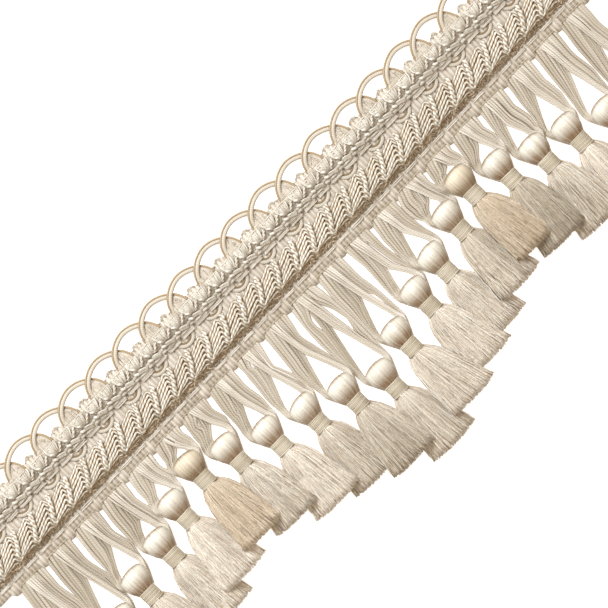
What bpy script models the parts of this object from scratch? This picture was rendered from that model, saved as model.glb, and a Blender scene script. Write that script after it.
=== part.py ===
"""Scalloped tassel fringe, laid flat on its back: a woven heading tape, two looped gimps, a chain braid,
a plaited braid and a row of tassels that hang on crossed bundles of cord. Their lengths step down and up
again in scallops. X runs along the trim, +Y points up the trim towards its loops and +Z out of its face.
The origin is on the back of the tape, halfway along it. Lengths are in metres."""

import math

import bmesh
import bpy
from mathutils import Vector

MM = 0.001

# Driving sizes
LENGTH = 382 * MM
TASSEL_PITCH = 17.22 * MM
GAP = 0.3 * MM

# Heading tape
TAPE_THICKNESS = 1.2 * MM
TAPE_TOP = 18.5 * MM
TAPE_FOOT = -17.2 * MM
LENS_HEIGHT = 3.5 * MM
LENS_BASE_HALF = 2.9 * MM
LENS_TIP_HALF = 1.3 * MM
LIP_DEPTH = 2.2 * MM
LIP_BASE_HALF = 1.9 * MM
LIP_TIP_HALF = 1.2 * MM

# Looped gimps, each a pair of cords side by side
GIMP_WIDTH = 2.6 * MM
GIMP_HEIGHT = 1.3 * MM
LOOP_SHIFT = 2.2 * MM
ARCH_HALF_WIDTH = 11.9 * MM
ARCH_HEIGHT = 9.6 * MM
ARCH_SPRING = 17.8 * MM
TURN_RADIUS = 3.7 * MM
TURN_CENTRE_Y = 7.7 * MM
CROSSING_LIFT = 1.7 * MM
ON_TAPE = TAPE_THICKNESS + GAP
OVER_GIMPS = ON_TAPE + GIMP_HEIGHT + GAP

# Chain braid, two rows of knots
CHAIN_KNOTS = 44
CHAIN_SECTION = (
    # y, height at a knot of the upper row, height at a knot of the lower row
    (7.9 * MM, OVER_GIMPS, OVER_GIMPS),
    (17.2 * MM, OVER_GIMPS, OVER_GIMPS),
    (17.2 * MM, 4.5 * MM, 4.5 * MM),
    (14.9 * MM, 6.4 * MM, 4.7 * MM),
    (11.9 * MM, 4.4 * MM, 4.4 * MM),
    (9.9 * MM, 4.5 * MM, 5.6 * MM),
    (7.9 * MM, 4.0 * MM, 4.0 * MM),
)

# Plaited braid of slanting lobes, whose upper edge lies over the turns of the gimps
PLAIT_LOBES = 34
PLAIT_SLANT = 4.5 * MM
PLAIT_MIDDLE = -3.3 * MM
PLAIT_WIDTH = 14.6 * MM
PLAIT_SECTION = (
    # y, height at a lobe's crest, height in the groove
    (1.4 * MM, ON_TAPE, ON_TAPE),
    (2.3 * MM, OVER_GIMPS, OVER_GIMPS),
    (4.0 * MM, 4.6 * MM, 4.0 * MM),
    (0.6 * MM, 6.2 * MM, 5.0 * MM),
    (-3.6 * MM, 6.8 * MM, 5.4 * MM),
    (-7.8 * MM, 5.8 * MM, 4.6 * MM),
    (-10.6 * MM, 3.4 * MM, 2.8 * MM),
    (-10.2 * MM, ON_TAPE, ON_TAPE),
)
LOBE_STEPS = (
    # share of the lobe, how far up from the groove to the crest
    (0.0, 0.0),
    (0.34, 1.0),
    (0.8, 0.75),
)

# Bundles of hanging cords
BUNDLE_WIDTH = 2.6 * MM
BUNDLE_THICKNESS = 1.7 * MM
OUTER_BUNDLE_X = 4.95 * MM
INNER_BUNDLE_X = 1.75 * MM
BUNDLE_START = TAPE_FOOT - GAP
OVER_BUNDLE_START = TAPE_FOOT + 1.2 * MM
WINDOW_TOP = 3.7 * MM
WINDOW_SHARE = 0.34
BEND_X = 6.0 * MM
CROSSING_RISE = BUNDLE_THICKNESS + 0.7 * MM
NARROWER_AT_HEAD = 0.2 * MM
# out from the head's middle, up from its top and above its axis
OUTER_LEAVES_HEAD = (7.0 * MM, 1.0 * MM, -1.4 * MM)
UNDER_LEAVES_HEAD = (4.3 * MM, 1.6 * MM, -2.2 * MM)
OVER_LEAVES_HEAD = (4.3 * MM, 1.6 * MM, 1.2 * MM)

# Tassels: every length down the tassel is measured from the top of its head
AXIS_HEIGHT = 5.5 * MM
HEAD_RINGS = (
    # down, half width, half thickness
    (0.0 * MM, 5.8 * MM, 4.1 * MM),
    (4.5 * MM, 6.6 * MM, 5.3 * MM),
    (10.0 * MM, 4.4 * MM, 4.4 * MM),
    (16.3 * MM, 4.4 * MM, 4.4 * MM),
    (18.4 * MM, 5.8 * MM, 4.4 * MM),
)
ROUND_SIDES = 12
LEFT_FLANK, RIGHT_FLANK = 6, 11
LOCK_THICKNESS = 2.7 * MM
LOCK_GAP = 0.4 * MM
BULGE_DOWN = 24.5 * MM
BULGE_HALF_WIDTH = 7.6 * MM
BULGE_LEAN = 0.4
BULGE_RISE = 0.9 * MM
SKIRT_DOWN = 48.6 * MM
HEM_RISE = 1.1 * MM
ROOT_INSET = 0.35 * MM

TASSELS = (
    # place, head shift along, head top below the origin, skirt lean, skirt half width, stacking rank
    (-10, -1.6, 62.9, 0.6, 12.2, 3),
    (-9, -1.2, 55.0, -1.2, 12.2, 4),
    (-8, -2.1, 48.0, 0.4, 12.2, 3),
    (-7, -0.4, 43.6, 0.2, 12.0, 2),
    (-6, -1.4, 36.5, 0.3, 12.0, 3),
    (-5, -1.0, 29.9, 1.2, 11.6, 4),
    (-4, -1.7, 36.1, 0.0, 12.3, 3),
    (-3, -1.3, 44.0, -0.2, 12.6, 2),
    (-2, 0.1, 49.1, 0.4, 12.0, 1),
    (-1, 0.9, 55.2, 0.6, 12.8, 2),
    (0, 0.2, 62.9, 0.8, 12.4, 1),
    (1, 0.6, 55.0, 2.6, 12.2, 4),
    (2, 2.1, 48.6, 1.4, 12.4, 3),
    (3, 0.9, 43.6, 1.6, 12.0, 1),
    (4, 1.3, 35.6, 0.2, 11.2, 2),
    (5, -0.8, 28.8, 0.6, 11.3, 3),
    (6, -1.7, 35.9, -0.2, 11.8, 2),
    (7, -2.4, 42.7, -0.6, 12.2, 1),
    (8, -3.2, 46.6, 0.4, 12.2, 0),
    (9, -3.0, 54.2, -0.4, 12.2, 2),
    (10, -2.2, 62.0, 0.5, 12.2, 1),
)
TAN_TASSELS = (-5, 5)


def clear_scene():
    for obj in list(bpy.data.objects):
        bpy.data.objects.remove(obj)


def yarn_material(name, colour, roughness):
    material = bpy.data.materials.new(name)
    material.use_nodes = True
    shader = material.node_tree.nodes["Principled BSDF"]
    shader.inputs["Base Color"].default_value = (*colour, 1.0)
    shader.inputs["Roughness"].default_value = roughness
    shader.inputs["Metallic"].default_value = 0.0
    return material


def add_object(name, shape, material, location=(0.0, 0.0, 0.0)):
    bmesh.ops.recalc_face_normals(shape, faces=shape.faces)
    mesh = bpy.data.meshes.new(name)
    shape.to_mesh(mesh)
    shape.free()
    mesh.materials.append(material)
    obj = bpy.data.objects.new(name, mesh)
    obj.location = location
    bpy.context.scene.collection.objects.link(obj)
    return obj


def strip_through(rings):
    """A closed solid whose skin joins each ring of points to the next, with a face over each end."""
    shape = bmesh.new()
    loops = [[shape.verts.new(point) for point in ring] for ring in rings]
    sides = len(loops[0])
    for near, far in zip(loops, loops[1:]):
        for i in range(sides):
            j = (i + 1) % sides
            shape.faces.new((near[i], near[j], far[j], far[i]))
    shape.faces.new(loops[0])
    shape.faces.new(loops[-1])
    return shape


def heading_tape(material):
    """The woven strip: lobes between the gimp arches above, lips between the hanging groups below."""
    half = LENGTH / 2
    places = range(-11, 11)
    above = [(-half, TAPE_TOP)]
    below = [(-half, TAPE_FOOT)]
    for place in places:
        middle = (place + 0.5) * TASSEL_PITCH
        if abs(middle) + LENS_BASE_HALF > half:
            continue
        lens = middle + LOOP_SHIFT
        if lens + LENS_BASE_HALF < half:
            above += [
                (lens - LENS_BASE_HALF, TAPE_TOP),
                (lens - LENS_TIP_HALF, TAPE_TOP + LENS_HEIGHT),
                (lens + LENS_TIP_HALF, TAPE_TOP + LENS_HEIGHT),
                (lens + LENS_BASE_HALF, TAPE_TOP),
            ]
        below += [
            (middle - LIP_BASE_HALF, TAPE_FOOT),
            (middle - LIP_TIP_HALF, TAPE_FOOT - LIP_DEPTH),
            (middle + LIP_TIP_HALF, TAPE_FOOT - LIP_DEPTH),
            (middle + LIP_BASE_HALF, TAPE_FOOT),
        ]
    above.append((half, TAPE_TOP))
    below.append((half, TAPE_FOOT))
    shape = bmesh.new()
    outline = below + above[::-1]
    back = shape.faces.new([shape.verts.new((x, y, 0.0)) for x, y in outline])
    raised = bmesh.ops.extrude_face_region(shape, geom=[back], use_keep_orig=True)
    top = [item for item in raised["geom"] if isinstance(item, bmesh.types.BMVert)]
    bmesh.ops.translate(shape, verts=top, vec=(0.0, 0.0, TAPE_THICKNESS))
    bmesh.ops.triangulate(shape, faces=shape.faces[:], ngon_method="EAR_CLIP")
    return add_object("heading_tape", shape, material)


def gimp_path(first_arch):
    """The middle line of one gimp pair: an arch over every second place, a small turn between them."""
    level = ON_TAPE + GIMP_HEIGHT / 2
    half = LENGTH / 2
    points = []
    for place in range(first_arch, 13, 2):
        arch = place * TASSEL_PITCH + LOOP_SHIFT
        for degrees in (180, 152, 124, 96, 68, 34, 0):
            turn = math.radians(degrees)
            x = arch + ARCH_HALF_WIDTH * math.cos(turn)
            y = ARCH_SPRING + ARCH_HEIGHT * math.sin(turn)
            lift = CROSSING_LIFT if degrees in (152, 124) else 0.0
            points.append(Vector((x, y, level + lift)))
        for degrees in (180, 225, 270, 315, 360):
            turn = math.radians(degrees)
            x = arch + TASSEL_PITCH + TURN_RADIUS * math.cos(turn)
            y = TURN_CENTRE_Y + TURN_RADIUS * math.sin(turn)
            points.append(Vector((x, y, level)))
    inside = GIMP_WIDTH / 2
    return [p for p in points if -half + inside < p.x < half - inside]


def looped_gimp(name, first_arch, material):
    path = gimp_path(first_arch)
    rings = []
    for i, point in enumerate(path):
        before = path[max(i - 1, 0)]
        after = path[min(i + 1, len(path) - 1)]
        along = (after - before).normalized()
        across = Vector((-along.y, along.x, 0.0)).normalized() * (GIMP_WIDTH / 2)
        up = Vector((0.0, 0.0, GIMP_HEIGHT / 2))
        rings.append([point + across + up, point - across + up, point - across - up, point + across - up])
    return add_object(name, strip_through(rings), material)


def chain_braid(material):
    """Two rows of knots in one strip. The lower row sits half a knot further along."""
    rings = []
    for i in range(2 * CHAIN_KNOTS + 1):
        x = (i / (2 * CHAIN_KNOTS) - 0.5) * LENGTH
        rings.append([Vector((x, y, upper if i % 2 else lower)) for y, upper, lower in CHAIN_SECTION])
    return add_object("chain_braid", strip_through(rings), material)


def plait_ring(along, crest):
    ring = []
    for y, high, low in PLAIT_SECTION:
        slant = PLAIT_SLANT * (y - PLAIT_MIDDLE) / PLAIT_WIDTH
        ring.append(Vector((along + slant, y, low + (high - low) * crest)))
    return ring


def plaited_braid(material):
    """Slanting raised lobes, one after the other."""
    first = (PLAIT_SLANT - LENGTH) / 2
    lobe = (LENGTH - PLAIT_SLANT) / PLAIT_LOBES
    rings = []
    for i in range(PLAIT_LOBES):
        rings += [plait_ring(first + (i + share) * lobe, crest) for share, crest in LOBE_STEPS]
    rings.append(plait_ring(-first, 0.0))
    return add_object("plaited_braid", strip_through(rings), material)


def round_ring(shape, down, half_width, half_thickness):
    verts = []
    for i in range(ROUND_SIDES):
        turn = 2 * math.pi * i / ROUND_SIDES
        verts.append(shape.verts.new((half_width * math.cos(turn), -down, half_thickness * math.sin(turn))))
    return verts


def end_grid(shape, ring, half_width):
    """Closes a ring with four columns of two faces. They come back by (column, row)."""
    y = ring[0].co.y
    inner = [shape.verts.new((x * half_width / 2, y, 0.0)) for x in (-1, 0, 1)]
    middle = [ring[6], *inner, ring[0]]
    upper = [ring[5], ring[4], ring[3], ring[2], ring[1]]
    lower = [ring[7], ring[8], ring[9], ring[10], ring[11]]
    faces = {}
    for column in range(4):
        faces[column, 1] = shape.faces.new(
            (middle[column], middle[column + 1], upper[column + 1], upper[column])
        )
        faces[column, 0] = shape.faces.new(
            (middle[column], middle[column + 1], lower[column + 1], lower[column])
        )
    return faces


def grow(shape, face, side_of, sections):
    """Draws a four-sided strand out of a face, through each (centre, half width, half thickness).
    side_of gives which of its sides each corner of the root face lies on."""
    bmesh.ops.inset_individual(shape, faces=[face], thickness=ROOT_INSET, use_even_offset=True)
    signs = [side_of(vert.co) for vert in face.verts]
    for centre, half_width, half_thickness in sections:
        face = bmesh.ops.extrude_discrete_faces(shape, faces=[face])["faces"][0]
        for vert, (across, up) in zip(face.verts, signs):
            vert.co = centre + Vector((across * half_width, 0.0, up * half_thickness))


def lock_slots(half_width, lean, levels, rise):
    """(middle, height of the middle) of each lock across the skirt, by (column, row)."""
    width = (2 * half_width - 5 * LOCK_GAP) / 6
    middles = [lean - half_width + width / 2 + i * (width + LOCK_GAP) for i in range(6)]
    low = LOCK_THICKNESS / 2
    high = low + LOCK_THICKNESS + GAP + rise
    left = high if levels[0] else low
    right = high if levels[1] else low
    slots = {
        (0, 0): (middles[0], left),
        (0, 1): (middles[1], left),
        (1, 0): (middles[2], low),
        (1, 1): (middles[2], high),
        (2, 0): (middles[3], low),
        (2, 1): (middles[3], high),
        (3, 1): (middles[4], right),
        (3, 0): (middles[5], right),
    }
    return slots, width


def grow_skirt(shape, faces, lean, half_width, levels):
    bulge, bulge_lock = lock_slots(BULGE_HALF_WIDTH, lean * BULGE_LEAN, levels, BULGE_RISE)
    end, end_lock = lock_slots(half_width, lean, levels, 0.0)
    for place, face in faces.items():
        sections = []
        for slots, width, down in ((bulge, bulge_lock, BULGE_DOWN), (end, end_lock, SKIRT_DOWN)):
            x, height = slots[place]
            rise = HEM_RISE * ((x - lean) / half_width) ** 2
            centre = Vector((x, -down + rise, height - AXIS_HEIGHT))
            sections.append((centre, width / 2, LOCK_THICKNESS / 2))
        grow(shape, face, sides_across(face.calc_center_median()), sections)


def sides_across(middle):
    """Which side of the middle a corner of an upright root lies on."""
    return lambda co: (1 if co.x > middle.x else -1, 1 if co.z > middle.z else -1)


def sides_round_flank(middle, side):
    """The same for a root in the head's flank, whose upper edge becomes the bundle's inner side."""
    return lambda co: (-side if co.y > middle.y else side, 1 if co.z > middle.z else -1)


def grow_bundles(shape, flank, cap, group_x, head_top):
    """Four bundles of cord from the tassel's head up to the tape. The inner two cross, one over the other."""
    hang = BUNDLE_START + head_top
    window = hang - WINDOW_TOP - WINDOW_SHARE * hang
    swing = group_x * window / hang
    size = (BUNDLE_WIDTH / 2, BUNDLE_THICKNESS / 2)
    size_at_head = (size[0] - NARROWER_AT_HEAD, size[1])
    low = size[1] - AXIS_HEIGHT
    for side in (-1, 1):
        out, up, height = OUTER_LEAVES_HEAD
        sections = [
            (Vector((side * out, up, height)), *size_at_head),
            (Vector((swing + side * BEND_X, window, low)), *size),
            (Vector((group_x + side * OUTER_BUNDLE_X, hang, low)), *size),
        ]
        face = flank[side]
        grow(shape, face, sides_round_flank(face.calc_center_median(), side), sections)

    for side, row, leaves, rise, first, top in (
        (-1, 0, UNDER_LEAVES_HEAD, 0.0, 0.0, BUNDLE_START),
        (1, 1, OVER_LEAVES_HEAD, CROSSING_RISE, TAPE_THICKNESS + 2 * GAP, OVER_BUNDLE_START),
    ):
        out, up, height = leaves
        apart = size[0] + GAP / 2
        sections = [
            (Vector((side * out, up, height)), *size_at_head),
            (Vector((swing + side * apart, window, low + rise)), *size),
            (Vector((group_x - side * INNER_BUNDLE_X, top + head_top, low + first)), *size),
        ]
        face = cap[0 if side < 0 else 3, row]
        grow(shape, face, sides_across(face.calc_center_median()), sections)


def tassel(name, row, levels, material):
    """Head, neck, skirt of locks and the bundles it hangs on. Its origin is the top of its head."""
    place, shift, head_top, lean, half_width, _ = row
    x = place * TASSEL_PITCH + shift * MM
    shape = bmesh.new()
    rings = [round_ring(shape, *size) for size in HEAD_RINGS]
    flank = {}
    for band, (near, far) in enumerate(zip(rings, rings[1:])):
        for i in range(ROUND_SIDES):
            j = (i + 1) % ROUND_SIDES
            face = shape.faces.new((near[i], near[j], far[j], far[i]))
            if band == 0 and i in (LEFT_FLANK, RIGHT_FLANK):
                flank[-1 if i == LEFT_FLANK else 1] = face
    cap = end_grid(shape, rings[0], HEAD_RINGS[0][1])
    root = end_grid(shape, rings[-1], HEAD_RINGS[-1][1])
    bmesh.ops.recalc_face_normals(shape, faces=shape.faces)
    grow_bundles(shape, flank, cap, -shift * MM, head_top * MM)
    grow_skirt(shape, root, lean * MM, half_width * MM, levels)
    return add_object(name, shape, material, (x, -head_top * MM, AXIS_HEIGHT))


def tassel_row(ivory, tan):
    ranks = {row[0]: row[5] for row in TASSELS}
    for number, row in enumerate(TASSELS, start=1):
        place, rank = row[0], row[5]
        levels = (rank > ranks.get(place - 1, rank), rank > ranks.get(place + 1, rank))
        material = tan if place in TAN_TASSELS else ivory
        tassel(f"tassel_{number:02d}", row, levels, material)


clear_scene()
heading_tape(yarn_material("tape weave", (0.52, 0.43, 0.31), 0.9))
wrapped = yarn_material("wrapped gimp", (0.66, 0.52, 0.36), 0.55)
looped_gimp("loop_gimp_1", -12, wrapped)
looped_gimp("loop_gimp_2", -11, wrapped)
chain_braid(yarn_material("chain yarn", (0.76, 0.69, 0.57), 0.75))
plaited_braid(yarn_material("plait yarn", (0.68, 0.58, 0.43), 0.6))
tassel_row(
    yarn_material("ivory tassel yarn", (0.74, 0.66, 0.53), 0.6),
    yarn_material("tan tassel yarn", (0.67, 0.52, 0.33), 0.6),
)
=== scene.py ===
import math
import bpy
import numpy as np
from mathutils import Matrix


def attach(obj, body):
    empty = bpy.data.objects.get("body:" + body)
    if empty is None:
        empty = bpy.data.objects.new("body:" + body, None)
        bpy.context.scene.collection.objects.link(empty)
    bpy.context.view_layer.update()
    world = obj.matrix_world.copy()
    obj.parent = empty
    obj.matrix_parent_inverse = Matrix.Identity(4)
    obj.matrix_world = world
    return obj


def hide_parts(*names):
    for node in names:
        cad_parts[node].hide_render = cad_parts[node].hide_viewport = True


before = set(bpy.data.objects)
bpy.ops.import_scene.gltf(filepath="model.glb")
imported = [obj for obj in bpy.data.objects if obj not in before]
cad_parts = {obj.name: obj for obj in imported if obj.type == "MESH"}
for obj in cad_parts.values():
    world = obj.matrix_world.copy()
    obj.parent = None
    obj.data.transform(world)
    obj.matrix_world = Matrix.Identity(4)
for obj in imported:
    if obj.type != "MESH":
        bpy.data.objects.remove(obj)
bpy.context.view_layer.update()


# Heading tape: a woven cotton and viscose strip, 36 mm wide, that everything else is sewn to.
# Thick warp cords raise ribs across it, and it bulges up in small tongues between the gimp loops
# and down in small lips between the hanging groups. It lies flat, so it is one thin wavy sheet.

# Sizes are in mm: x runs along the trim, y up to its loops and z up from the table. Tassels, gimp
# arches and hanging groups all repeat every TASSEL_PITCH, arches and groups each a little shifted.
MM = 0.001
LENGTH = 382.0
TASSEL_PITCH = 17.22
LOOP_SHIFT = 3.1
GROUP_SHIFT = 0.6
TAPE_TOP = 19.2
TAPE_FOOT = -17.2
TAPE_FACE = 1.0
TAPE_THICKNESS = 0.9
TONGUE_HEIGHT = 5.2
TONGUE_BASE_HALF = 4.6
TONGUE_TIP_HALF = 0.6
TONGUE_SWELL = 0.5
LIP_DEPTH = 2.1
LIP_BASE_HALF = 2.7
LIP_TIP_HALF = 1.4
RIB_PITCH = 2.03
RIB_RELIEF = 0.45
FINE_RIB_RELIEF = 0.06
COLUMN_WIDTH = 0.25
TAPE_ROWS = 9
SEED = 7

# A strand of tone 0 has this brightness and tint, and one of tone 1 is brighter and cooler. The warm
# tint of darker strands is painted shade: shade in yarn looks warm where light bounces between fibres.
DARK_STRAND = 0.72
STRAND_RANGE = 0.5
WARM_TINT = (1.0, 0.96, 0.88, 1.0)
COOL_TINT = (0.97, 1.0, 1.04, 1.0)
GROOVE_DEPTH = 0.4
SHEEN_ROUGHNESS = 0.5


def linear(hex_colour):
    """An sRGB hex colour as the linear colour that a shader takes."""
    parts = [int(hex_colour[i:i + 2], 16) / 255 for i in (1, 3, 5)]
    return [p / 12.92 if p <= 0.04045 else ((p + 0.055) / 1.055) ** 2.4 for p in parts] + [1.0]


def add_node(tree, kind, settings=None, links=None):
    """Adds one node. A setting named in the node's inputs goes to that socket, any other to the node."""
    node = tree.nodes.new(kind)
    for key, value in (settings or {}).items():
        if isinstance(key, int) or key in node.inputs:
            node.inputs[key].default_value = value
        else:
            setattr(node, key, value)
    for key, source in (links or {}).items():
        tree.links.new(source, node.inputs[key])
    return node


def yarn_finish(name, pale, deep, roughness, sheen, fleck=0.25, fleck_mm=1.1, tick_mm=0.0, tick=0.0,
                bump=0.25, gloss=0.35):
    """Dyed yarn, with light and shade painted into it: pale on the upper side of each strand and deep
    along its sides and in its grooves, as painted highlight and shade. Every strand is a little lighter
    or darker than the next, and the darker ones are painted warmer. Fine flecks stand for single
    filaments catching the light, as painted glints. A dark tick every tick_mm along the strand is
    painted shade in the groove where a wrap or a twist goes round, and it also dents the bump.

    A piece's strand attribute gives the painted shade of each point, from 0 deep to 1 pale on the crest,
    the tone of its strand, and how many mm along the strand it is. Sockets 6 and 7 of a colour mix are
    its two colours."""
    material = bpy.data.materials.new(name)
    material.use_nodes = True
    tree = material.node_tree
    shader = tree.nodes["Principled BSDF"]
    strand = add_node(tree, "ShaderNodeAttribute", {"attribute_name": "strand"})
    parts = add_node(tree, "ShaderNodeSeparateXYZ", links={0: strand.outputs["Vector"]})
    place = add_node(tree, "ShaderNodeTexCoord")
    flecks = add_node(
        tree, "ShaderNodeTexNoise", {"Scale": 1 / (fleck_mm * MM), "Detail": 2.0},
        {"Vector": place.outputs["Object"]})
    crest_shade = parts.outputs["X"]
    strand_tone = parts.outputs["Y"]
    if tick:
        turns = add_node(
            tree, "ShaderNodeMath", {"operation": "MULTIPLY", 1: 2 * math.pi / tick_mm},
            {0: parts.outputs["Z"]})
        wave = add_node(tree, "ShaderNodeMath", {"operation": "SINE"}, {0: turns.outputs[0]})
        dip = add_node(
            tree, "ShaderNodeMath", {"operation": "MULTIPLY_ADD", 1: tick}, {0: wave.outputs[0], 2: crest_shade})
        crest_shade = dip.outputs[0]
    fleck_share = add_node(
        tree, "ShaderNodeMath", {"operation": "MULTIPLY_ADD", 1: fleck * 2, 2: -fleck},
        {0: flecks.outputs["Fac"]})
    depth = add_node(
        tree, "ShaderNodeMath", {"operation": "ADD", "use_clamp": True},
        {0: crest_shade, 1: fleck_share.outputs[0]})
    dye = add_node(
        tree, "ShaderNodeMix", {"data_type": "RGBA", 6: linear(deep), 7: linear(pale)},
        {0: depth.outputs[0]})
    bright = add_node(
        tree, "ShaderNodeMath", {"operation": "MULTIPLY_ADD", 1: STRAND_RANGE, 2: DARK_STRAND},
        {0: strand_tone})
    warmth = add_node(
        tree, "ShaderNodeMix", {"data_type": "RGBA", 6: WARM_TINT, 7: COOL_TINT}, {0: strand_tone})
    tinted = add_node(
        tree, "ShaderNodeVectorMath", {"operation": "MULTIPLY"}, {0: dye.outputs[2], 1: warmth.outputs[2]})
    shade = add_node(
        tree, "ShaderNodeVectorMath", {"operation": "SCALE"},
        {0: tinted.outputs[0], "Scale": bright.outputs[0]})
    relief = add_node(
        tree, "ShaderNodeBump", {"Strength": bump, "Distance": GROOVE_DEPTH * MM},
        {"Height": depth.outputs[0]})
    tree.links.new(shade.outputs[0], shader.inputs["Base Color"])
    tree.links.new(relief.outputs[0], shader.inputs["Normal"])
    shader.inputs["Roughness"].default_value = roughness
    shader.inputs["Sheen Weight"].default_value = sheen
    shader.inputs["Sheen Roughness"].default_value = SHEEN_ROUGHNESS
    shader.inputs["Specular IOR Level"].default_value = gloss
    return material


def finish_piece(piece, material, node_names, smooth=True):
    """Smooth faces, one material, and the solids that the piece stands for."""
    piece.data.materials.clear()
    piece.data.materials.append(material)
    faces = len(piece.data.polygons)
    piece.data.polygons.foreach_set("use_smooth", np.broadcast_to(smooth, faces).astype(bool).tolist())
    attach(piece, "root")
    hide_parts(*node_names)
    return piece


def bulge(x, centre, base_half, tip_half):
    """1 in the middle of a tongue or lip, falling to 0 at its foot."""
    away = np.abs((x - centre + TASSEL_PITCH / 2) % TASSEL_PITCH - TASSEL_PITCH / 2)
    share = np.clip((base_half - away) / (base_half - tip_half), 0, 1)
    return share * share * (3 - 2 * share)


# One seeded source of chance, so that every run gives the same trim.
chance = np.random.default_rng(SEED)
for chosen in bpy.context.selected_objects:
    chosen.select_set(False)
columns = int(LENGTH / COLUMN_WIDTH)
bpy.ops.mesh.primitive_grid_add(x_subdivisions=columns, y_subdivisions=TAPE_ROWS, size=1.0)
tape = bpy.context.object
tape.name = "heading_tape_weave"
flat = np.empty(len(tape.data.vertices) * 3)
tape.data.vertices.foreach_get("co", flat)
flat = flat.reshape(-1, 3)
tape_x = flat[:, 0] * LENGTH
down_share = 0.5 - flat[:, 1]
tongue = bulge(tape_x, LOOP_SHIFT + TASSEL_PITCH / 2, TONGUE_BASE_HALF, TONGUE_TIP_HALF)
lip = bulge(tape_x, GROUP_SHIFT + TASSEL_PITCH / 2, LIP_BASE_HALF, LIP_TIP_HALF)
upper = TAPE_TOP + TONGUE_HEIGHT * tongue
lower = TAPE_FOOT - LIP_DEPTH * lip
rib = np.abs(np.cos(math.pi * tape_x / RIB_PITCH)) ** 0.7
fine_rib = 0.5 + 0.5 * np.cos(4 * math.pi * tape_x / RIB_PITCH)
rib_tones = chance.uniform(0.4, 0.8, int(LENGTH / RIB_PITCH) + 3)
swell = TONGUE_SWELL * tongue * np.clip(1 - 5 * down_share, 0, 1)
tape_z = TAPE_FACE + RIB_RELIEF * (rib - 0.2) + FINE_RIB_RELIEF * fine_rib + swell
tape_points = np.column_stack([tape_x, upper + (lower - upper) * down_share, tape_z]) * MM
tape.data.vertices.foreach_set("co", tape_points.ravel())
tape_tone = rib_tones[np.floor(tape_x / RIB_PITCH + 0.5).astype(int)]
# Painted shade: each rib is marked pale on its crest and deep in the grooves beside it. Each rib's tone also
# varies at random.
tape_marks = np.column_stack([0.1 + 0.7 * rib + 0.2 * fine_rib, tape_tone, tape_points[:, 1] / MM])
strand = tape.data.attributes.new("strand", "FLOAT_VECTOR", "POINT")
strand.data.foreach_set("vector", tape_marks.ravel())
wall = tape.modifiers.new("wall", "SOLIDIFY")
wall.thickness = TAPE_THICKNESS * MM
wall.offset = -1
bpy.ops.object.modifier_apply(modifier=wall.name)
# A matt ribbed weave of cotton warp and viscose weft, a little dull beside the yarns on it. The weft
# is drawn every 0.9 mm, coarser than the real one, so that it shows.
tape_weave = yarn_finish(
    "ribbed_cotton_viscose_weave", "#e5e1d9", "#ad9474", 0.8, 0.08, fleck=0.2, fleck_mm=0.9,
    tick_mm=0.9, tick=0.12)
finish_piece(tape, tape_weave, ["heading_tape"])


# Threads of the tape that stand out of its weave: fuzzy brown picots along its upper edge, tufts that
# fill its tongues, grey floats that jump over the ribs in two rows, a selvedge round each lip, dark
# with painted shade, and fine wefts that bind the cords of each hanging group. All are thin spun
# cotton or viscose.
def gone_along(path):
    """How far along a path each of its points is."""
    return np.concatenate([[0], np.cumsum(np.linalg.norm(np.diff(path, axis=0), axis=1))])


def smooth_path(knots, step):
    """A curve through the knots (x, y, z, and more if wanted), with a point about every step mm."""
    knots = np.asarray(knots, float)
    ends = np.vstack([2 * knots[0] - knots[1], knots, 2 * knots[-1] - knots[-2]])
    pieces = []
    t = np.linspace(0, 1, 12, endpoint=False)[:, None]
    for a, b, c, d in zip(ends, ends[1:], ends[2:], ends[3:]):
        pieces.append(0.5 * (2 * b + (c - a) * t + (2 * a - 5 * b + 4 * c - d) * t ** 2
                             + (3 * b - a - 3 * c + d) * t ** 3))
    fine = np.vstack(pieces + [knots[-1:]])
    gone = gone_along(fine[:, :3])
    stations = np.linspace(0, gone[-1], max(2, int(round(gone[-1] / step)) + 1))
    return np.column_stack([np.interp(stations, gone, values) for values in fine.T])


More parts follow.
